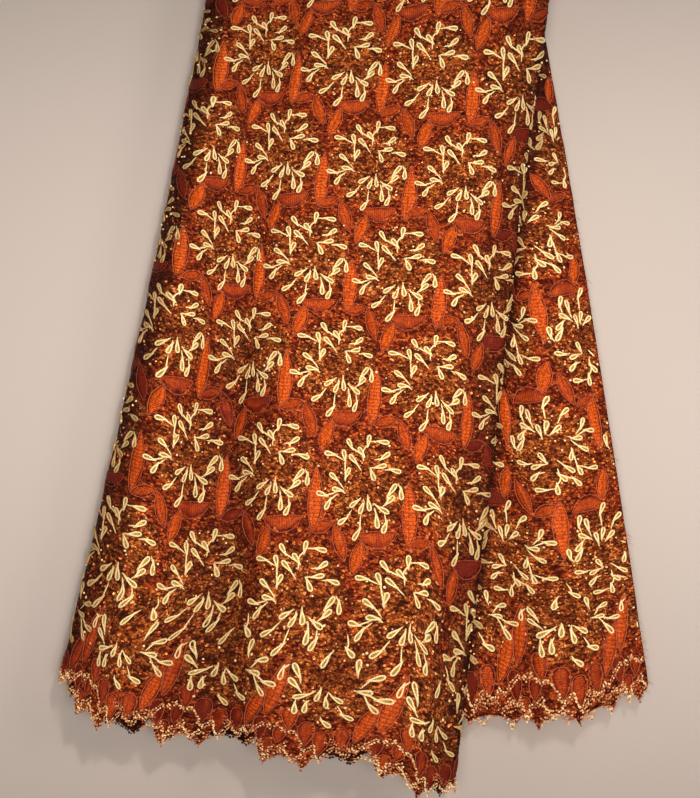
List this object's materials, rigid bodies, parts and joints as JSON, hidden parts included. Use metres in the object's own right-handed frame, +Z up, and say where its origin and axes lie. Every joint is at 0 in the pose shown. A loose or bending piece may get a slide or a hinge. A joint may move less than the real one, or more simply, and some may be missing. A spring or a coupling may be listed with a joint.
{
  "type": "sequined net lace fabric",
  "caption": "Cut length of corded net lace with sequins, folded over its top edge and hanging in soft folds above a scalloped hem, with orange leaves and cream flower sprays",
  "frame": {"origin": "middle of the top edge, by which the cloth hangs", "axes": "+Z up, +X to the right of a viewer who faces the front panel, +Y away from that viewer toward the back panel"},
  "size_m": [0.4816, 0.0829, 0.6798],
  "materials": {
    "lace": "rust and orange corded net with cream cords and small bright sequins"
  },
  "bodies": {
    "root": {"lace_cloth": "lace"}
  },
  "joints": []
}
